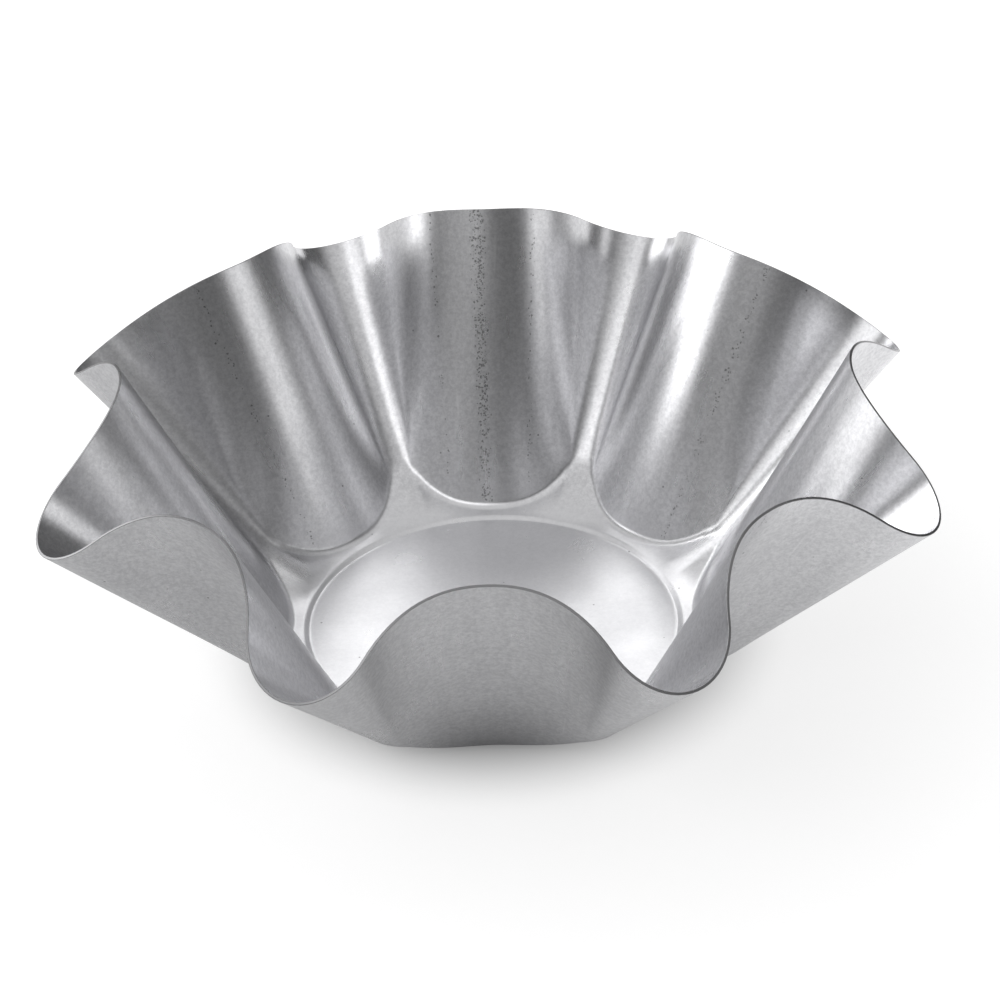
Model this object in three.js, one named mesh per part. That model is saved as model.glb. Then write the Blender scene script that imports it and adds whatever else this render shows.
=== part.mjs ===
// A tortilla shell pan: one disc of tinned steel sheet, pressed into a fluted bowl.
// A round floor stands on the table. Around it a small step lifts a narrow margin, and from the
// margin's edge the wall flares up and out. The wall is folded into wide inward bulges with narrow
// rounded lobes between them, so its rim dips at each lobe and rises at each bulge.
// Millimetres, +Z up. The origin is the middle of the floor's underside, and a bulge faces each axis.
import * as THREE from "three";

// Driving dimensions of the pressing. Radii, depths and heights are those of its outer face.
const FLUTES = 8;
const SHEET = 0.6;
const FLOOR_RADIUS = 41.4;
const STEP_WIDTH = 1.8;
const STEP_HEIGHT = 0.6;

// The foot, where the margin turns up into the wall. It climbs the margin from the bulges to the lobes.
const FOOT_LOBE_RADIUS = 57.6;
const FOOT_FLUTE_DEPTH = 11.4;
const FOOT_LOBE_ARC = 3.6;
const FOOT_BULGE_HEIGHT = 0.95;
const FOOT_LOBE_HEIGHT = 7.3;
const FOOT_CLIMB_POWER = 1.3;
const FOOT_BULGE_FILLET = 3;
const FOOT_LOBE_FILLET = 16;
const FOOT_FILLET_POWER = 2;

// The cut edge at the top of the wall. It dips from the bulges to the lobes.
const RIM_LOBE_RADIUS = 100;
const RIM_FLUTE_DEPTH = 21.6;
const RIM_LOBE_ARC = 13.3;
const RIM_BULGE_HEIGHT = 64.5;
const RIM_LOBE_HEIGHT = 48.5;
const RIM_DIP_POWER = 1.26;

// The share of the margin that a fillet may take up.
const FILLET_ROOM = 0.9;

// How finely the curves are cut into facets.
const BULGE_SEGMENTS = 5;
const LOBE_SEGMENTS = 5;
const STEP_SEGMENTS = 3;
const FILLET_SEGMENTS = 3;
const WALL_SEGMENTS = 3;

// The outline of one flute from the middle of its bulge to the tip of its lobe, in plan:
// a lobe arc of the given radius, and the one bulge arc that meets it smoothly.
function halfFlute(lobeRadius, fluteDepth, lobeArc) {
  const half = Math.PI / FLUTES;
  const bulgeRadius = lobeRadius - fluteDepth;
  const lobeCentre = new THREE.Vector2(Math.cos(half), Math.sin(half)).multiplyScalar(lobeRadius - lobeArc);
  const ahead = bulgeRadius - lobeCentre.x;
  const bulgeArc = (ahead ** 2 + lobeCentre.y ** 2 - lobeArc ** 2) / (2 * (lobeArc - ahead));
  const bulgeCentre = new THREE.Vector2(bulgeRadius + bulgeArc, 0);
  const join = lobeCentre.clone().sub(bulgeCentre).divideScalar(bulgeArc + lobeArc);
  const bulgeTurn = Math.atan2(join.y, -join.x);

  const points = [];
  for (let i = 0; i < BULGE_SEGMENTS; i++) {
    const turn = (bulgeTurn * i) / BULGE_SEGMENTS;
    const reach = new THREE.Vector2(-Math.cos(turn), Math.sin(turn)).multiplyScalar(bulgeArc);
    points.push(reach.add(bulgeCentre));
  }
  for (let i = 0; i <= LOBE_SEGMENTS; i++) {
    const turn = THREE.MathUtils.lerp(-bulgeTurn, half, i / LOBE_SEGMENTS);
    const reach = new THREE.Vector2(Math.cos(turn), Math.sin(turn)).multiplyScalar(lobeArc);
    points.push(reach.add(lobeCentre));
  }
  return points;
}

// The whole outline: each half flute with its mirror image, repeated around the pan.
function flutedOutline(lobeRadius, fluteDepth, lobeArc) {
  const half = halfFlute(lobeRadius, fluteDepth, lobeArc);
  const mirrored = half.slice(1, -1).reverse().map((p) => new THREE.Vector2(p.x, -p.y));
  const flute = [...mirrored, ...half];
  const origin = new THREE.Vector2();
  const outline = [];
  for (let k = 0; k < FLUTES; k++) {
    const turn = (2 * Math.PI * k) / FLUTES;
    outline.push(...flute.map((p) => p.clone().rotateAround(origin, turn)));
  }
  return outline;
}

// How far out a point lies between a bulge, at 0, and the tip of a lobe, at 1.
function outwardShare(point, lobeRadius, fluteDepth) {
  const beyondBulge = Math.hypot(point.x, point.y) - (lobeRadius - fluteDepth);
  return THREE.MathUtils.clamp(beyondBulge / fluteDepth, 0, 1);
}

// The fluted outline in space, with its height running from the bulges to the lobes.
function flutedLoop(lobeRadius, fluteDepth, lobeArc, bulgeHeight, lobeHeight, power) {
  return flutedOutline(lobeRadius, fluteDepth, lobeArc).map((p) => {
    const share = outwardShare(p, lobeRadius, fluteDepth) ** power;
    return new THREE.Vector3(p.x, p.y, THREE.MathUtils.lerp(bulgeHeight, lobeHeight, share));
  });
}

function footLoop() {
  return flutedLoop(
    FOOT_LOBE_RADIUS,
    FOOT_FLUTE_DEPTH,
    FOOT_LOBE_ARC,
    FOOT_BULGE_HEIGHT,
    FOOT_LOBE_HEIGHT,
    FOOT_CLIMB_POWER,
  );
}

function rimLoop() {
  return flutedLoop(
    RIM_LOBE_RADIUS,
    RIM_FLUTE_DEPTH,
    RIM_LOBE_ARC,
    RIM_BULGE_HEIGHT,
    RIM_LOBE_HEIGHT,
    RIM_DIP_POWER,
  );
}

// A round loop in the floor or its step, with one point in line with each point of the foot.
function floorLoop(foot, radius, height) {
  return foot.map((p) => new THREE.Vector3(p.x, p.y, 0).setLength(radius).setZ(height));
}

// The step eases up from the floor to the margin.
function stepLoops(foot) {
  const loops = [];
  for (let i = 0; i <= STEP_SEGMENTS; i++) {
    const share = i / STEP_SEGMENTS;
    const height = STEP_HEIGHT * THREE.MathUtils.smoothstep(share, 0, 1);
    loops.push(floorLoop(foot, FLOOR_RADIUS + STEP_WIDTH * share, height));
  }
  return loops;
}

// The fillet rounds the foot between the margin and the wall, tightly at the bulges and widely at the lobes.
function filletLoops(margin, foot, rim) {
  const loops = Array.from({ length: FILLET_SEGMENTS + 1 }, () => []);
  foot.forEach((corner, k) => {
    const inward = margin[k].clone().sub(corner).normalize();
    const upward = rim[k].clone().sub(corner).normalize();
    const bend = Math.PI - inward.angleTo(upward);
    const share = outwardShare(corner, FOOT_LOBE_RADIUS, FOOT_FLUTE_DEPTH);
    const wanted = THREE.MathUtils.lerp(FOOT_BULGE_FILLET, FOOT_LOBE_FILLET, share ** FOOT_FILLET_POWER);
    const room = FILLET_ROOM * margin[k].distanceTo(corner);
    const radius = Math.min(wanted, room / Math.tan(bend / 2));
    const reach = radius * Math.tan(bend / 2);
    const start = corner.clone().addScaledVector(inward, reach);
    const across = upward.clone().addScaledVector(inward, -upward.dot(inward)).normalize();
    loops.forEach((loop, i) => {
      const turn = (bend * i) / FILLET_SEGMENTS;
      const along = radius * Math.sin(turn);
      const rise = radius * (1 - Math.cos(turn));
      loop.push(start.clone().addScaledVector(inward, -along).addScaledVector(across, rise));
    });
  });
  return loops;
}

// Straight lines carry the wall from the fillet to the rim.
function wallLoops(bottom, rim) {
  const loops = [];
  for (let i = 1; i <= WALL_SEGMENTS; i++) {
    loops.push(bottom.map((p, k) => p.clone().lerp(rim[k], i / WALL_SEGMENTS)));
  }
  return loops;
}

// A surface through loops of equal length, closed at each given end point by a fan.
function surfaceThrough(firstPoint, loops, lastPoint) {
  const around = loops[0].length;
  const points = [firstPoint, ...loops.flat()];
  if (lastPoint) points.push(lastPoint);
  const index = [];
  for (let k = 0; k < around; k++) {
    const next = (k + 1) % around;
    index.push(0, 1 + next, 1 + k);
    for (let j = 0; j + 1 < loops.length; j++) {
      const low = 1 + j * around;
      const high = low + around;
      index.push(low + k, low + next, high + next);
      index.push(low + k, high + next, high + k);
    }
    if (lastPoint) {
      const top = 1 + (loops.length - 1) * around;
      index.push(top + k, top + next, points.length - 1);
    }
  }
  return new THREE.BufferGeometry().setFromPoints(points).setIndex(index);
}

// The sheet has one thickness all over, so its inner face is its outer face set back along the normals.
function setBack(outerLoops) {
  const outer = surfaceThrough(new THREE.Vector3(), outerLoops);
  outer.computeVertexNormals();
  const position = outer.getAttribute("position");
  const normal = outer.getAttribute("normal");
  const around = outerLoops[0].length;
  return outerLoops.map((loop, j) =>
    loop.map((_, k) => {
      const vertex = 1 + j * around + k;
      const outward = new THREE.Vector3().fromBufferAttribute(normal, vertex);
      return new THREE.Vector3().fromBufferAttribute(position, vertex).addScaledVector(outward, -SHEET);
    }),
  );
}

// The pressing is closed: out along its underside, over the cut edge of the rim and back inside.
function pressedSheet() {
  const foot = footLoop();
  const rim = rimLoop();
  const step = stepLoops(foot);
  const fillet = filletLoops(step.at(-1), foot, rim);
  const outerLoops = [...step, ...fillet, ...wallLoops(fillet.at(-1), rim)];
  const innerLoops = setBack(outerLoops).reverse();
  return surfaceThrough(new THREE.Vector3(), [...outerLoops, ...innerLoops], new THREE.Vector3(0, 0, SHEET));
}

const tinnedSteel = new THREE.MeshStandardMaterial({ color: 0xb9babc, roughness: 0.32, metalness: 1 });

const flutedPan = new THREE.Mesh(pressedSheet(), tinnedSteel);
flutedPan.name = "fluted_pan";

const tortillaShellPan = new THREE.Group();
tortillaShellPan.add(flutedPan);

export default tortillaShellPan;
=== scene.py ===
"""A tortilla shell pan, pressed from one disc of tinned steel sheet, on a pale studio floor."""

import math

import bmesh
import bpy
from bpy.props import FloatProperty, FloatVectorProperty, IntProperty, PointerProperty
from mathutils import Matrix, Vector, noise


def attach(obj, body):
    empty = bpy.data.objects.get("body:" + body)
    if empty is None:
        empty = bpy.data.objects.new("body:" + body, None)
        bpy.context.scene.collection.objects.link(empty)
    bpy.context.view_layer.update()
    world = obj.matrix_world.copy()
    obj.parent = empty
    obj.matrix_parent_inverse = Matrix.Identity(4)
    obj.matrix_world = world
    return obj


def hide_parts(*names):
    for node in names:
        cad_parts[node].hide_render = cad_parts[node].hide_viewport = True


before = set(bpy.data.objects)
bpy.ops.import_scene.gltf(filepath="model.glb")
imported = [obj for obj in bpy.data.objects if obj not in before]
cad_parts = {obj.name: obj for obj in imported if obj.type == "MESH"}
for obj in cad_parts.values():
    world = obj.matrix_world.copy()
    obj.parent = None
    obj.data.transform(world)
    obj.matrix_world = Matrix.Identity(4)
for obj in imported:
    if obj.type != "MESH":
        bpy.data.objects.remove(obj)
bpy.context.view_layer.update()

bl_info = {
    "name": "Tortilla shell pan",
    "version": (1, 0, 0),
    "blender": (4, 5, 0),
    "location": "3D View > Sidebar > Pan",
    "description": "Presses a fluted tortilla shell pan from tinned steel and lights it in a studio",
    "category": "Add Mesh",
}

CAD_NODE = "fluted_pan"
CAD_BODY = "root"
MM = 0.001


class PanSizes(bpy.types.PropertyGroup):
    """Sizes of the pressing, on its outer face."""

    flutes: IntProperty(name="Flutes", description="Inward bulges round the wall", default=8, min=3)
    sheet: FloatProperty(
        name="Sheet", description="Thickness of the steel", default=0.6 * MM, unit="LENGTH"
    )
    floor_radius: FloatProperty(
        name="Floor radius",
        description="Flat disc that the pan stands on",
        default=41.4 * MM,
        unit="LENGTH",
    )
    step_width: FloatProperty(
        name="Step width",
        description="Width of the step round the floor",
        default=1.8 * MM,
        unit="LENGTH",
    )
    step_height: FloatProperty(
        name="Step height",
        description="Rise of the step round the floor",
        default=0.6 * MM,
        unit="LENGTH",
    )
    foot_lobe_radius: FloatProperty(
        name="Foot lobe radius",
        description="Foot of the wall at a lobe",
        default=57.6 * MM,
        unit="LENGTH",
    )
    foot_flute_depth: FloatProperty(
        name="Foot flute depth",
        description="How far a bulge stands in at its foot",
        default=11.4 * MM,
        unit="LENGTH",
    )
    foot_lobe_arc: FloatProperty(
        name="Foot lobe arc",
        description="Bend of a lobe at its foot",
        default=3.6 * MM,
        unit="LENGTH",
    )
    foot_bulge_height: FloatProperty(
        name="Foot height at bulges",
        description="Height of the foot at a bulge",
        default=0.95 * MM,
        unit="LENGTH",
    )
    foot_lobe_height: FloatProperty(
        name="Foot height at lobes",
        description="Height of the foot at a lobe",
        default=7.3 * MM,
        unit="LENGTH",
    )
    foot_climb_power: FloatProperty(
        name="Foot climb", description="How late the foot climbs towards a lobe", default=1.3
    )
    foot_bulge_fillet: FloatProperty(
        name="Foot fillet at bulges",
        description="Rounding of the foot at a bulge",
        default=3 * MM,
        unit="LENGTH",
    )
    foot_lobe_fillet: FloatProperty(
        name="Foot fillet at lobes",
        description="Rounding of the foot at a lobe",
        default=16 * MM,
        unit="LENGTH",
    )
    rim_lobe_radius: FloatProperty(
        name="Rim lobe radius",
        description="Tip of a lobe at the rim",
        default=100 * MM,
        unit="LENGTH",
    )
    rim_flute_depth: FloatProperty(
        name="Rim flute depth",
        description="How far a bulge stands in at the rim",
        default=21.6 * MM,
        unit="LENGTH",
    )
    rim_lobe_arc: FloatProperty(
        name="Rim lobe arc",
        description="Bend of a lobe at the rim",
        default=13.3 * MM,
        unit="LENGTH",
    )
    rim_bulge_height: FloatProperty(
        name="Rim height at bulges",
        description="Height of the rim at a bulge",
        default=64.5 * MM,
        unit="LENGTH",
    )
    rim_lobe_height: FloatProperty(
        name="Rim height at lobes",
        description="Height of the rim at a lobe",
        default=48.5 * MM,
        unit="LENGTH",
    )
    rim_dip_power: FloatProperty(
        name="Rim dip", description="How late the rim dips towards a lobe", default=1.26
    )
    cut_rounding: FloatProperty(
        name="Cut edge rounding",
        description="Wear on the corners of the cut rim",
        default=0.12 * MM,
        unit="LENGTH",
    )
    waviness: FloatProperty(
        name="Waviness",
        description="Height of the slow unevenness left by the press",
        default=0.04 * MM,
        unit="LENGTH",
    )


class PanFinish(bpy.types.PropertyGroup):
    """Colours and gloss of the tinned steel."""

    tin_bright: FloatVectorProperty(
        name="Bright tin",
        description="Tin at its cleanest",
        subtype="COLOR",
        default=(0.745, 0.745, 0.76),
    )
    tin_dull: FloatVectorProperty(
        name="Dull tin",
        description="Tin where the draw has dulled it",
        subtype="COLOR",
        default=(0.56, 0.56, 0.575),
    )
    scratch_colour: FloatVectorProperty(
        name="Scratches",
        description="Fresh tin in the scratches",
        subtype="COLOR",
        default=(0.85, 0.85, 0.86),
    )
    steel_colour: FloatVectorProperty(
        name="Bare steel",
        description="Steel in the pits and on the cut edge",
        subtype="COLOR",
        default=(0.24, 0.24, 0.245),
    )
    smooth_roughness: FloatProperty(
        name="Smooth roughness",
        description="Gloss of clean tin",
        default=0.27,
    )
    drawn_roughness: FloatProperty(
        name="Drawn roughness",
        description="Gloss of dulled tin",
        default=0.31,
    )


class StudioSettings(bpy.types.PropertyGroup):
    """Floor, lamps and camera of the studio."""

    floor_colour: FloatVectorProperty(
        name="Floor", description="Colour of the floor", subtype="COLOR", default=(0.34, 0.34, 0.34)
    )
    floor_glow: FloatProperty(
        name="Floor glow", description="Light that lifts the bare floor to white", default=0.75
    )
    # Painted shade: the floor's glow as the metal mirrors it, close under the wall
    shade_glow: FloatProperty(
        name="Shade glow", description="Light left on the floor close under the wall", default=0.36
    )
    # Painted light: the floor that the metal mirrors is dimmer on the left and brighter on the right
    painted_light_lean: FloatProperty(
        name="Floor lean",
        description="How the floor's light leans from the left to the right",
        default=0.4,
    )
    room_low: FloatProperty(
        name="Room, low", description="Brightness of the room towards the horizon", default=0.13
    )
    room_high: FloatProperty(
        name="Room, high", description="Brightness of the room overhead", default=0.8
    )
    left_level: FloatProperty(
        name="Left softbox",
        description="Brightness of the softbox on the left",
        default=2.7,
    )
    back_level: FloatProperty(
        name="Back softbox",
        description="Brightness of the softbox behind the pan",
        default=2.1,
    )
    front_level: FloatProperty(
        name="Front softbox",
        description="Brightness of the softbox above the front left",
        default=1.4,
    )
    fill_level: FloatProperty(
        name="Front fill",
        description="Brightness of the low fill at the front left",
        default=0.22,
    )
    right_level: FloatProperty(
        name="Right softbox",
        description="Brightness of the small softbox on the right",
        default=1.2,
    )
    camera_elevation: FloatProperty(
        name="Camera elevation",
        description="Angle above the table",
        default=math.radians(32.997),
        subtype="ANGLE",
    )
    camera_azimuth: FloatProperty(
        name="Camera azimuth",
        description="Angle round the pan",
        default=math.radians(-0.528),
        subtype="ANGLE",
    )
    camera_roll: FloatProperty(
        name="Camera roll",
        description="Tilt of the camera",
        default=math.radians(-1.841),
        subtype="ANGLE",
    )
    camera_distance: FloatProperty(
        name="Camera distance",
        description="From the aim to the lens",
        default=614.1 * MM,
        unit="LENGTH",
    )
    camera_lens: FloatProperty(
        name="Lens",
        description="Focal length in millimetres",
        default=100.79,
    )
    camera_aim: FloatVectorProperty(
        name="Camera aim",
        description="Point in the middle of the picture",
        default=(2.35 * MM, 0, 33.19 * MM),
    )


# How finely the pressing is meshed, and the limits that keep its mesh clean

BULGE_STEPS = 16
LOBE_STEPS = 12
WALL_ROWS = 24
FILLET_ROWS = 8
MARGIN_ROWS = 5
STEP_ROWS = 6
FLOOR_ROWS = 5
FILLET_ROOM = 0.9
FILLET_POWER = 2
FLOOR_CENTRE_SHARE = 0.15
FLOOR_EDGE_SHARE = 0.985
CUT_SEGMENTS = 2
CUT_CORNER = math.radians(60)
MERGE_GAP = 0.001 * MM
WAVE_LENGTH = 26 * MM
CUT_BAND_SHARE = 0.003

# Columns of the mesh along which the press pinched the sheet and left a row of pits, each with the
# row's width
PIT_ROWS = {5: 0.8, 49: 0.84, 105: 0.8, 113: 1.03, 120: 0.78, 176: 0.82, 285: 0.8, 392: 0.85}
PIT_ROW_FADE = 6 * MM


def only(kind, items):
    """The items of one bmesh kind."""
    return [item for item in items if isinstance(item, kind)]


def half_flute_arcs(flutes, lobe_radius, depth, lobe_arc):
    """Centres and turns of the bulge arc and the lobe arc that meet smoothly in half a flute."""
    half = math.pi / flutes
    lobe_centre = Vector((math.cos(half), math.sin(half), 0)) * (lobe_radius - lobe_arc)
    bulge_radius = lobe_radius - depth
    ahead = bulge_radius - lobe_centre.x
    bulge_arc = (ahead**2 + lobe_centre.y**2 - lobe_arc**2) / (2 * (lobe_arc - ahead))
    bulge_centre = Vector((bulge_radius + bulge_arc, 0, 0))
    join = (lobe_centre - bulge_centre) / (bulge_arc + lobe_arc)
    bulge_turn = math.atan2(join.y, -join.x)
    return bulge_centre, bulge_turn, lobe_centre, bulge_turn + half


def spin_chain(bm, vert, centre, turn, steps):
    """Spins one vertex about a vertical axis into a chain of edges, and gives its last vertex."""
    made = bmesh.ops.spin(bm, geom=[vert], cent=centre, axis=(0, 0, 1), angle=turn, steps=steps)
    return only(bmesh.types.BMVert, made["geom_last"])[0]


def outward_share(point, lobe_radius, depth):
    """How far out a point lies between a bulge, at 0, and the tip of a lobe, at 1."""
    return min(max((point.xy.length - lobe_radius + depth) / depth, 0), 1)


def fluted_loop(bm, flutes, lobe_radius, depth, lobe_arc, bulge_height, lobe_height, power):
    """Makes a closed loop of edges along the flutes, and gives its vertices in order round the pan."""
    arcs = half_flute_arcs(flutes, lobe_radius, depth, lobe_arc)
    bulge_centre, bulge_turn, lobe_centre, lobe_turn = arcs
    start = bm.verts.new((lobe_radius - depth, 0, 0))
    joint = spin_chain(bm, start, bulge_centre, -bulge_turn, BULGE_STEPS)
    spin_chain(bm, joint, lobe_centre, lobe_turn, LOBE_STEPS)
    bmesh.ops.mirror(bm, geom=bm.verts[:] + bm.edges[:], axis="Y", merge_dist=MERGE_GAP)
    turn = 2 * math.pi * (flutes - 1) / flutes
    whole = bm.verts[:] + bm.edges[:]
    bmesh.ops.spin(bm, geom=whole, axis=(0, 0, 1), angle=turn, steps=flutes - 1, use_duplicate=True)
    bmesh.ops.remove_doubles(bm, verts=bm.verts, dist=MERGE_GAP)
    for vert in bm.verts:
        share = outward_share(vert.co, lobe_radius, depth) ** power
        vert.co.z = bulge_height + (lobe_height - bulge_height) * share
    # A quarter of a column is added, so that rounding can't put the first column last
    quarter = math.pi / (2 * len(bm.verts))
    return sorted(bm.verts, key=lambda v: (math.atan2(v.co.y, v.co.x) + quarter) % (2 * math.pi))


def foot_corners(sizes):
    """Where the margin and the wall would meet if the foot were sharp, one point for each column."""
    guide = bmesh.new()
    verts = fluted_loop(
        guide,
        sizes.flutes,
        sizes.foot_lobe_radius,
        sizes.foot_flute_depth,
        sizes.foot_lobe_arc,
        sizes.foot_bulge_height,
        sizes.foot_lobe_height,
        sizes.foot_climb_power,
    )
    corners = [v.co.copy() for v in verts]
    guide.free()
    return corners


def round_ring(corners, radius, height):
    """A round ring with one point in line with each corner of the foot."""
    return [c.xy.normalized().to_3d() * radius + Vector((0, 0, height)) for c in corners]


def fillet_row(corners, margin, rim, sizes, part):
    """A row along the foot's rounding, from the wall, at part 0, to the margin, at part 1."""
    row = []
    for corner, low, high in zip(corners, margin, rim):
        inward = (low - corner).normalized()
        upward = (high - corner).normalized()
        bend = math.pi - inward.angle(upward)
        share = outward_share(corner, sizes.foot_lobe_radius, sizes.foot_flute_depth)
        growth = sizes.foot_lobe_fillet - sizes.foot_bulge_fillet
        wanted = sizes.foot_bulge_fillet + growth * share**FILLET_POWER
        room = FILLET_ROOM * (low - corner).length
        radius = min(wanted, room / math.tan(bend / 2))
        across = (inward - upward * inward.dot(upward)).normalized()
        top = corner + upward * (radius * math.tan(bend / 2))
        turn = bend * part
        down = upward * (radius * math.sin(turn))
        row.append(top - down + across * (radius * (1 - math.cos(turn))))
    return row


def between(first, last, part):
    """A row between two rows of points."""
    return [a.lerp(b, part) for a, b in zip(first, last)]


def sheet_rows(corners, rim, sizes):
    """The rows of the pressing below its rim: wall, fillet, margin, step and floor."""
    margin = round_ring(corners, sizes.floor_radius + sizes.step_width, sizes.step_height)
    wall_end = fillet_row(corners, margin, rim, sizes, 0)
    margin_start = fillet_row(corners, margin, rim, sizes, 1)
    yield between(rim, wall_end, CUT_BAND_SHARE)
    for i in range(WALL_ROWS):
        yield between(rim, wall_end, (i + 1) / WALL_ROWS)
    for i in range(FILLET_ROWS):
        yield fillet_row(corners, margin, rim, sizes, (i + 1) / FILLET_ROWS)
    for i in range(MARGIN_ROWS):
        yield between(margin_start, margin, (i + 1) / MARGIN_ROWS)
    for i in range(STEP_ROWS):
        share = 1 - (i + 1) / STEP_ROWS
        ease = share * share * (3 - 2 * share)
        radius = sizes.floor_radius + sizes.step_width * share
        yield round_ring(corners, radius, sizes.step_height * ease)
    for i in range(FLOOR_ROWS):
        share = FLOOR_EDGE_SHARE + (FLOOR_CENTRE_SHARE - FLOOR_EDGE_SHARE) * i / (FLOOR_ROWS - 1)
        yield round_ring(corners, sizes.floor_radius * share, 0)


def near_pit_row(column, columns, around):
    """How near a column is to a row of pits: the row's width on its line, and 1 less past its fade."""
    nearness = []
    for row, width in PIT_ROWS.items():
        apart = min((column - row) % columns, (row - column) % columns)
        nearness.append(width - apart * 2 * math.pi * around / columns / PIT_ROW_FADE)
    return max(nearness)


def press_pan(bm, sizes):
    """Shapes the outer face: a fluted rim, extruded row by row down the wall and in over the floor."""
    column = bm.verts.layers.int.new("column")
    draw = bm.verts.layers.float_vector.new("draw")
    pit_row = bm.verts.layers.float.new("pit_row")
    cut = bm.verts.layers.float.new("cut")
    rim = fluted_loop(
        bm,
        sizes.flutes,
        sizes.rim_lobe_radius,
        sizes.rim_flute_depth,
        sizes.rim_lobe_arc,
        sizes.rim_bulge_height,
        sizes.rim_lobe_height,
        sizes.rim_dip_power,
    )
    around = sum(e.calc_length() for e in bm.edges) / (2 * math.pi)
    for i, vert in enumerate(rim):
        turn = 2 * math.pi * i / len(rim)
        vert[column] = i
        along = vert.co.xy.length + vert.co.z
        vert[draw] = Vector((around * math.cos(turn), around * math.sin(turn), along))
        vert[pit_row] = near_pit_row(i, len(rim), around)
        vert[cut] = 1

    ring = bm.edges[:]
    for i, row in enumerate(sheet_rows(foot_corners(sizes), [v.co.copy() for v in rim], sizes)):
        made = bmesh.ops.extrude_edge_only(bm, edges=ring)["geom"]
        for vert in only(bmesh.types.BMVert, made):
            vert.co = row[vert[column]]
            vert[draw] = Vector((*vert[draw].xy, vert.co.xy.length + vert.co.z))
            vert[cut] = 0
            if i > WALL_ROWS:
                vert[pit_row] = 0
        ring = only(bmesh.types.BMEdge, made)
    middle = bmesh.ops.contextual_create(bm, geom=ring)["faces"]
    bmesh.ops.poke(bm, faces=middle)


def turn_faces_out(bm):
    """Turns the faces so that the floor's underside looks down and the wall looks out."""
    bmesh.ops.recalc_face_normals(bm, faces=bm.faces)
    middle = min(bm.faces, key=lambda f: f.calc_center_median().xy.length)
    if middle.normal.z > 0:
        bmesh.ops.reverse_faces(bm, faces=bm.faces)


def leave_press_waves(bm, sizes):
    """Moves the wall in and out by a hair, as a pressed sheet is never quite even."""
    bm.normal_update()
    for vert in bm.verts:
        reach = vert.co.xy.length - sizes.floor_radius - sizes.step_width
        free = min(max(reach / WAVE_LENGTH, 0), 1)
        wave = noise.noise(vert.co / WAVE_LENGTH, noise_basis="PERLIN_ORIGINAL")
        vert.co += vert.normal * (wave * free * sizes.waviness)


# Surface of the tin: how far along the sheet from its middle the flat floor ends and the fully drawn
# wall starts, then for each pattern its scale, its stretch along the draw, and the span over which it shows
FLAT_REACH = 44 * MM
DRAWN_REACH = 62 * MM
FLOOR_TEXTURE = 0.3
MOTTLE_SCALE = 55.0
MOTTLE_SHARE = 0.65
STREAK_SCALE = 420.0
STREAK_STRETCH = (1, 1, 0.08)
GRAIN_SCALE = 950.0
GRAIN_HARSHNESS = 0.8
GRAIN_SHARE = 0.65
GRAIN_BUMP = 0.15
GRAIN_DEPTH = 0.05 * MM
TONE_SPAN = (0.3, 0.7)
GLOSS_SPAN = (0.35, 0.65)
SCRATCH_SCALE = 900.0
SCRATCH_STRETCH = (1, 1, 0.03)
SCRATCH_SPAN = (0.76, 0.82)
RUBBED_SCALE = 32.0
RUBBED_SPAN = (0.54, 0.66)
RUBBED_STRENGTH = 0.4
CLUMP_SCALE = 260.0
CLUMP_SPAN = (0.3, 0.55)
CLUMP_CROWDING = (0.2, 1.2)
PIT_ROW_SPAN = (0.62, 1.0)
PIT_SCALE = 1700.0
PIT_EDGE_SCALE = 3400.0
PIT_EDGE_SPAN = (1.15, 0.85)
PIT_SIZE_SPREAD = 0.3
PIT_STRENGTH = 0.9
SPECK_SCALE = 150.0
SPECK_EDGE_SPAN = (0.045, 0.025)
CUT_SCALE = 700.0
CUT_WEAR = 0.6
CUT_SPAN = (0.6, 1.1)


class NodeGraph:
    """Adds shader nodes and links them, each input given as a value or as another node's output."""

    def __init__(self, tree):
        self.tree = tree
        tree.nodes.clear()

    def add(self, kind, inputs, **settings):
        node = self.tree.nodes.new(kind)
        for name, value in settings.items():
            setattr(node, name, value)
        for key, value in inputs.items():
            socket = node.inputs[key]
            if isinstance(value, bpy.types.NodeSocket):
                self.tree.links.new(value, socket)
            elif socket.type == "RGBA":
                socket.default_value = (*value, 1)
            else:
                socket.default_value = value
        return node

    def noise(self, vector, scale, detail=2.0, roughness=0.5):
        inputs = {"Vector": vector, "Scale": scale, "Detail": detail, "Roughness": roughness}
        return self.add("ShaderNodeTexNoise", inputs).outputs["Fac"]

    def math(self, operation, *values):
        return self.add("ShaderNodeMath", dict(enumerate(values)), operation=operation).outputs[0]

    def blend(self, value, low, high, to_low=0.0, to_high=1.0):
        """Eases from to_low to to_high while the value runs from low to high."""
        inputs = {"Value": value, "From Min": low, "From Max": high}
        inputs |= {"To Min": to_low, "To Max": to_high}
        return self.add("ShaderNodeMapRange", inputs, interpolation_type="SMOOTHSTEP").outputs["Result"]

    def calm(self, value, share):
        """Draws a pattern towards its middle tone, to the given share of its strength."""
        return self.math("MULTIPLY_ADD", self.math("SUBTRACT", value, 0.5), share, 0.5)

    def stretch(self, vector, scale):
        return self.add("ShaderNodeMapping", {"Vector": vector, "Scale": scale}).outputs["Vector"]

    def mix_colour(self, factor, first, second):
        node = self.add("ShaderNodeMix", {0: factor, 6: first, 7: second}, data_type="RGBA")
        return node.outputs[2]


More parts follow.
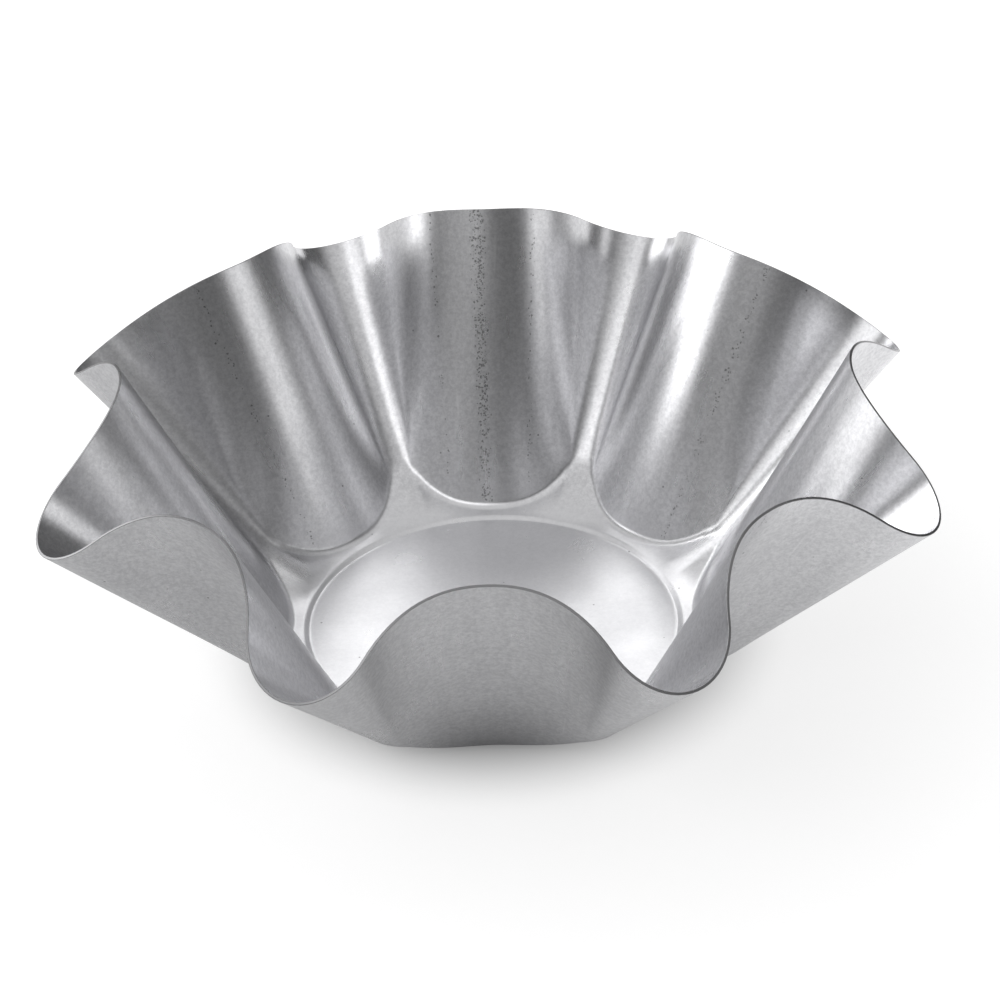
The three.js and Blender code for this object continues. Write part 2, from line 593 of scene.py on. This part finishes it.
def tin_patterns(graph, place, draw, drawn):
    """The tin's dullness, from mottling and draw streaks, and its fine grain, both calmer on the floor."""
    worked = graph.math("MULTIPLY_ADD", drawn, 1 - FLOOR_TEXTURE, FLOOR_TEXTURE)
    mottle = graph.noise(place, MOTTLE_SCALE, detail=3.0)
    streak = graph.calm(graph.noise(graph.stretch(draw, STREAK_STRETCH), STREAK_SCALE), worked)
    streak = graph.math("MULTIPLY", streak, 1 - MOTTLE_SHARE)
    dull = graph.math("MULTIPLY_ADD", mottle, MOTTLE_SHARE, streak)
    grain = graph.calm(graph.noise(place, GRAIN_SCALE, roughness=GRAIN_HARSHNESS), worked)
    return dull, grain


def scratch_lines(graph, place, draw, drawn):
    """Short scratches along the draw, in rubbed patches of the wall."""
    lines = graph.noise(graph.stretch(draw, SCRATCH_STRETCH), SCRATCH_SCALE, detail=0.0)
    lines = graph.blend(lines, *SCRATCH_SPAN)
    rubbed = graph.noise(place, RUBBED_SCALE, detail=1.0)
    rubbed = graph.blend(rubbed, *RUBBED_SPAN, 0.0, RUBBED_STRENGTH)
    return graph.math("MULTIPLY", lines, graph.math("MULTIPLY", rubbed, drawn))


def pits_and_specks(graph, place, pit_row):
    """Ragged pits of mixed sizes, crowded along the pit rows, and a few single specks."""
    clumps = graph.blend(graph.noise(place, CLUMP_SCALE, detail=1.0), *CLUMP_SPAN, *CLUMP_CROWDING)
    crowding = graph.math("MULTIPLY", clumps, graph.blend(pit_row, *PIT_ROW_SPAN))
    dot = graph.add("ShaderNodeTexVoronoi", {"Vector": place, "Scale": PIT_SCALE}).outputs
    draws = graph.add("ShaderNodeSeparateColor", {"Color": dot["Color"]}).outputs
    ragged = graph.math("ADD", dot["Distance"], graph.noise(place, PIT_EDGE_SCALE, detail=0.0))
    ragged = graph.math("MULTIPLY_ADD", draws["Green"], PIT_SIZE_SPREAD, ragged)
    present = graph.math("LESS_THAN", draws["Red"], crowding)
    pits = graph.math("MULTIPLY", graph.blend(ragged, *PIT_EDGE_SPAN), present)
    speck = graph.add("ShaderNodeTexVoronoi", {"Vector": place, "Scale": SPECK_SCALE}).outputs
    pits = graph.math("MAXIMUM", pits, graph.blend(speck["Distance"], *SPECK_EDGE_SPAN))
    return graph.math("MULTIPLY", pits, PIT_STRENGTH)


def tinned_steel(finish):
    """Semi-bright tin plate with grain, draw streaks, rows of pits, a few scratches and a worn cut edge."""
    material = bpy.data.materials.new("tinned steel")
    material.use_nodes = True
    graph = NodeGraph(material.node_tree)
    place = graph.add("ShaderNodeTexCoord", {}).outputs["Object"]
    draw = graph.add("ShaderNodeAttribute", {}, attribute_name="draw").outputs["Vector"]
    pit_row = graph.add("ShaderNodeAttribute", {}, attribute_name="pit_row").outputs["Fac"]
    cut = graph.add("ShaderNodeAttribute", {}, attribute_name="cut").outputs["Fac"]
    reach = graph.add("ShaderNodeSeparateXYZ", {"Vector": draw}).outputs["Z"]
    drawn = graph.blend(reach, FLAT_REACH, DRAWN_REACH)

    dull, grain = tin_patterns(graph, place, draw, drawn)
    dull_part = graph.math("MULTIPLY", dull, 1 - GRAIN_SHARE)
    tone = graph.math("MULTIPLY_ADD", grain, GRAIN_SHARE, dull_part)
    colour = graph.mix_colour(graph.blend(tone, *TONE_SPAN), finish.tin_bright, finish.tin_dull)
    scratches = scratch_lines(graph, place, draw, drawn)
    colour = graph.mix_colour(scratches, colour, finish.scratch_colour)
    pits = pits_and_specks(graph, place, pit_row)
    colour = graph.mix_colour(pits, colour, finish.steel_colour)
    bare = graph.math("MULTIPLY_ADD", graph.noise(place, CUT_SCALE), CUT_WEAR, cut)
    colour = graph.mix_colour(graph.blend(bare, *CUT_SPAN), colour, finish.steel_colour)

    roughness = graph.blend(dull, *GLOSS_SPAN, finish.smooth_roughness, finish.drawn_roughness)
    height = {"Strength": GRAIN_BUMP, "Distance": GRAIN_DEPTH, "Height": grain}
    normal = graph.add("ShaderNodeBump", height).outputs["Normal"]
    inputs = {"Base Color": colour, "Metallic": 1.0, "Roughness": roughness, "Normal": normal}
    shader = graph.add("ShaderNodeBsdfPrincipled", inputs)
    graph.add("ShaderNodeOutputMaterial", {"Surface": shader.outputs["BSDF"]})
    return material


class PAN_OT_press_sheet(bpy.types.Operator):
    """Press the fluted pan out of one disc of tinned steel"""

    bl_idname = "pan.press_sheet"
    bl_label = "Press the pan"

    def execute(self, context):
        sizes = context.scene.pan_sizes
        bm = bmesh.new()
        press_pan(bm, sizes)
        turn_faces_out(bm)
        leave_press_waves(bm, sizes)
        for face in bm.faces:
            face.smooth = True
        mesh = bpy.data.meshes.new("fluted_pan_sheet")
        bm.to_mesh(mesh)
        bm.free()
        if len(mesh.polygons) == 0:
            raise RuntimeError("the pan has no faces")
        mesh.materials.append(tinned_steel(context.scene.pan_finish))
        pan = bpy.data.objects.new("fluted_pan_sheet", mesh)
        context.scene.collection.objects.link(pan)

        thick = pan.modifiers.new("Sheet", "SOLIDIFY")
        thick.thickness = sizes.sheet
        thick.offset = -1
        thick.use_even_offset = True
        edge = pan.modifiers.new("Cut edge", "BEVEL")
        edge.width = sizes.cut_rounding
        edge.segments = CUT_SEGMENTS
        edge.limit_method = "ANGLE"
        edge.angle_limit = CUT_CORNER
        edge.harden_normals = True

        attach(pan, CAD_BODY)
        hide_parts(CAD_NODE)
        return {"FINISHED"}


# Studio: the floor's size, then how far from the pan's axis each ramp of its glow starts and ends. The
# ramps paint
# shade into the glow: the shadow and bare ramps, seen by the camera, paint the pan's shadow round its foot,
# and the contact, mirror and lean ramps, seen by the metal, paint shade under the wall and light leaning to
# the right.
FLOOR_SIZE = 8.0
SHADOW_START = 32 * MM
SHADOW_END = 68 * MM
BARE_START = 80 * MM
BARE_END = 260 * MM
# Painted shade close to the foot, in the floor as the metal mirrors it
PAINTED_CONTACT_SHADE_START = 40 * MM
PAINTED_CONTACT_SHADE_END = 64 * MM
MIRROR_START = 60 * MM
MIRROR_END = 170 * MM
# Painted light leaning to the right, in the floor as the metal mirrors it
LEAN_REACH = 100 * MM

# The steepness of the view up into the room at which it starts and ends getting lighter
ROOM_RISE = (0.6, 0.9)

# Softboxes: angles in degrees, lengths in metres
LAMP_AIM = Vector((0, 0, 35 * MM))
LEFT_BOX = {"azimuth": -72, "elevation": 20, "distance": 0.9, "size": (1.16, 0.48)}
BACK_BOX = {"azimuth": -22, "elevation": 40, "distance": 1.0, "size": (1.12, 0.28)}
FRONT_BOX = {"azimuth": -142, "elevation": 49, "distance": 0.8, "size": (0.84, 0.36)}
FRONT_FILL = {"azimuth": -146, "elevation": 21, "distance": 0.8, "size": (0.5, 0.25)}
RIGHT_BOX = {"azimuth": 110, "elevation": 19, "distance": 0.7, "size": (0.33, 0.33)}


def softbox(context, name, level, azimuth, elevation, distance, size):
    """A rectangular lamp of the given brightness, aimed at the pan and not itself in the picture.
    Azimuth is in degrees from straight behind the pan, and grows to the right."""
    lamp = bpy.data.lights.new(name, "AREA")
    lamp.shape = "RECTANGLE"
    lamp.size, lamp.size_y = size
    lamp.energy = level * math.pi * size[0] * size[1]
    box = bpy.data.objects.new(name, lamp)
    turn, rise = math.radians(azimuth), math.radians(elevation)
    way = Vector((math.sin(turn) * math.cos(rise), math.cos(turn) * math.cos(rise), math.sin(rise)))
    box.location = LAMP_AIM + way * distance
    box.rotation_euler = (-way).to_track_quat("-Z", "Y").to_euler()
    box.visible_camera = False
    context.scene.collection.objects.link(box)


def floor_material(studio):
    """A matt pale floor with enough glow to show white away from the pan. Its matt face takes the lamps'
    real shadows; its glow paints the pan's shadow round the foot, and in the metal paints shade under the
    wall and light leaning to the right.
    """
    material = bpy.data.materials.new("studio floor")
    material.use_nodes = True
    graph = NodeGraph(material.node_tree)
    path = graph.add("ShaderNodeLightPath", {}).outputs
    mirrored = graph.math("MAXIMUM", path["Is Glossy Ray"], path["Is Transmission Ray"])
    place = graph.add("ShaderNodeTexCoord", {}).outputs["Object"]
    reach = graph.add("ShaderNodeVectorMath", {0: place}, operation="LENGTH").outputs["Value"]
    # Painted shadow: the glow that the camera sees is held back round the pan's foot and rises to full
    # white further out
    seen_glow = graph.blend(reach, SHADOW_START, SHADOW_END, 0.0, studio.floor_glow)
    bare_glow = graph.blend(reach, BARE_START, BARE_END, 0.0, 1.0 - studio.floor_glow)
    seen_glow = graph.math("ADD", seen_glow, bare_glow)
    # Painted shade: the glow that the metal mirrors is dimmer under the wall and fades out towards the foot
    mirrored_glow = graph.blend(reach, MIRROR_START, MIRROR_END, studio.shade_glow, studio.floor_glow)
    painted_contact_shade = graph.blend(reach, PAINTED_CONTACT_SHADE_START, PAINTED_CONTACT_SHADE_END)
    # Painted light: the glow that the metal mirrors grows brighter towards the right
    across = graph.add("ShaderNodeSeparateXYZ", {"Vector": place}).outputs["X"]
    dimmed, lifted = 1.0 - studio.painted_light_lean, 1.0 + studio.painted_light_lean
    lean = graph.blend(across, -LEAN_REACH, LEAN_REACH, dimmed, lifted)
    mirrored_glow = graph.math("MULTIPLY", graph.math("MULTIPLY", mirrored_glow, painted_contact_shade), lean)
    level = graph.math("MULTIPLY", mirrored, mirrored_glow)
    level = graph.math("MULTIPLY_ADD", path["Is Camera Ray"], seen_glow, level)
    matt = graph.add("ShaderNodeBsdfDiffuse", {"Color": studio.floor_colour})
    glow = graph.add("ShaderNodeEmission", {"Strength": level})
    both = graph.add("ShaderNodeAddShader", {0: matt.outputs[0], 1: glow.outputs[0]})
    graph.add("ShaderNodeOutputMaterial", {"Surface": both.outputs[0]})
    return material


def room(studio):
    """A dim plain room, lighter overhead, and white where the camera looks past the floor."""
    world = bpy.data.worlds.new("studio room")
    world.use_nodes = True
    graph = NodeGraph(world.node_tree)
    way = graph.add("ShaderNodeTexCoord", {}).outputs["Generated"]
    height = graph.add("ShaderNodeSeparateXYZ", {"Vector": way}).outputs["Z"]
    level = graph.blend(height, *ROOM_RISE, studio.room_low, studio.room_high)
    camera = graph.add("ShaderNodeLightPath", {}).outputs["Is Camera Ray"]
    strength = graph.math("MAXIMUM", level, camera)
    back = graph.add("ShaderNodeBackground", {"Color": (1, 1, 1), "Strength": strength})
    graph.add("ShaderNodeOutputWorld", {"Surface": back.outputs[0]})
    return world


def aim_camera(context, studio):
    """Puts the camera in front of the pan, tilted as a hand holds it."""
    data = bpy.data.cameras.new("studio camera")
    data.lens = studio.camera_lens
    data.dof.use_dof = False
    camera = bpy.data.objects.new("studio camera", data)
    flat = math.cos(studio.camera_elevation)
    ahead = Vector(
        (
            flat * math.sin(studio.camera_azimuth),
            flat * math.cos(studio.camera_azimuth),
            -math.sin(studio.camera_elevation),
        )
    )
    turn = ahead.to_track_quat("-Z", "Y").to_matrix() @ Matrix.Rotation(studio.camera_roll, 3, "Z")
    place = Vector(studio.camera_aim) - ahead * studio.camera_distance
    camera.matrix_world = Matrix.Translation(place) @ turn.to_4x4()
    context.scene.collection.objects.link(camera)
    context.scene.camera = camera


class PAN_OT_set_studio(bpy.types.Operator):
    """Lay the floor, hang the lamps and aim the camera"""

    bl_idname = "pan.set_studio"
    bl_label = "Set the studio"

    def execute(self, context):
        studio = context.scene.pan_studio
        bm = bmesh.new()
        bmesh.ops.create_grid(bm, x_segments=1, y_segments=1, size=FLOOR_SIZE / 2)
        mesh = bpy.data.meshes.new("studio_floor")
        bm.to_mesh(mesh)
        bm.free()
        mesh.materials.append(floor_material(studio))
        floor = bpy.data.objects.new("studio_floor", mesh)
        context.scene.collection.objects.link(floor)

        softbox(context, "left softbox", studio.left_level, **LEFT_BOX)
        softbox(context, "back softbox", studio.back_level, **BACK_BOX)
        softbox(context, "front softbox", studio.front_level, **FRONT_BOX)
        softbox(context, "front fill", studio.fill_level, **FRONT_FILL)
        softbox(context, "right softbox", studio.right_level, **RIGHT_BOX)
        context.scene.world = room(studio)
        aim_camera(context, studio)
        context.scene.view_settings.view_transform = "Standard"
        return {"FINISHED"}


class PAN_PT_sidebar(bpy.types.Panel):
    """Sizes, finish and studio of the pan"""

    bl_idname = "PAN_PT_sidebar"
    bl_label = "Tortilla shell pan"
    bl_space_type = "VIEW_3D"
    bl_region_type = "UI"
    bl_category = "Pan"

    def draw(self, context):
        for group in (context.scene.pan_sizes, context.scene.pan_finish, context.scene.pan_studio):
            box = self.layout.box()
            for name in group.__annotations__:
                box.prop(group, name)
        self.layout.operator(PAN_OT_press_sheet.bl_idname)
        self.layout.operator(PAN_OT_set_studio.bl_idname)


CLASSES = (PanSizes, PanFinish, StudioSettings, PAN_OT_press_sheet, PAN_OT_set_studio, PAN_PT_sidebar)


def register():
    for cls in CLASSES:
        bpy.utils.register_class(cls)
    bpy.types.Scene.pan_sizes = PointerProperty(type=PanSizes)
    bpy.types.Scene.pan_finish = PointerProperty(type=PanFinish)
    bpy.types.Scene.pan_studio = PointerProperty(type=StudioSettings)


def unregister():
    del bpy.types.Scene.pan_studio
    del bpy.types.Scene.pan_finish
    del bpy.types.Scene.pan_sizes
    for cls in reversed(CLASSES):
        bpy.utils.unregister_class(cls)


def main():
    register()
    bpy.ops.pan.press_sheet()
    bpy.ops.pan.set_studio()


if __name__ == "__main__":
    main()
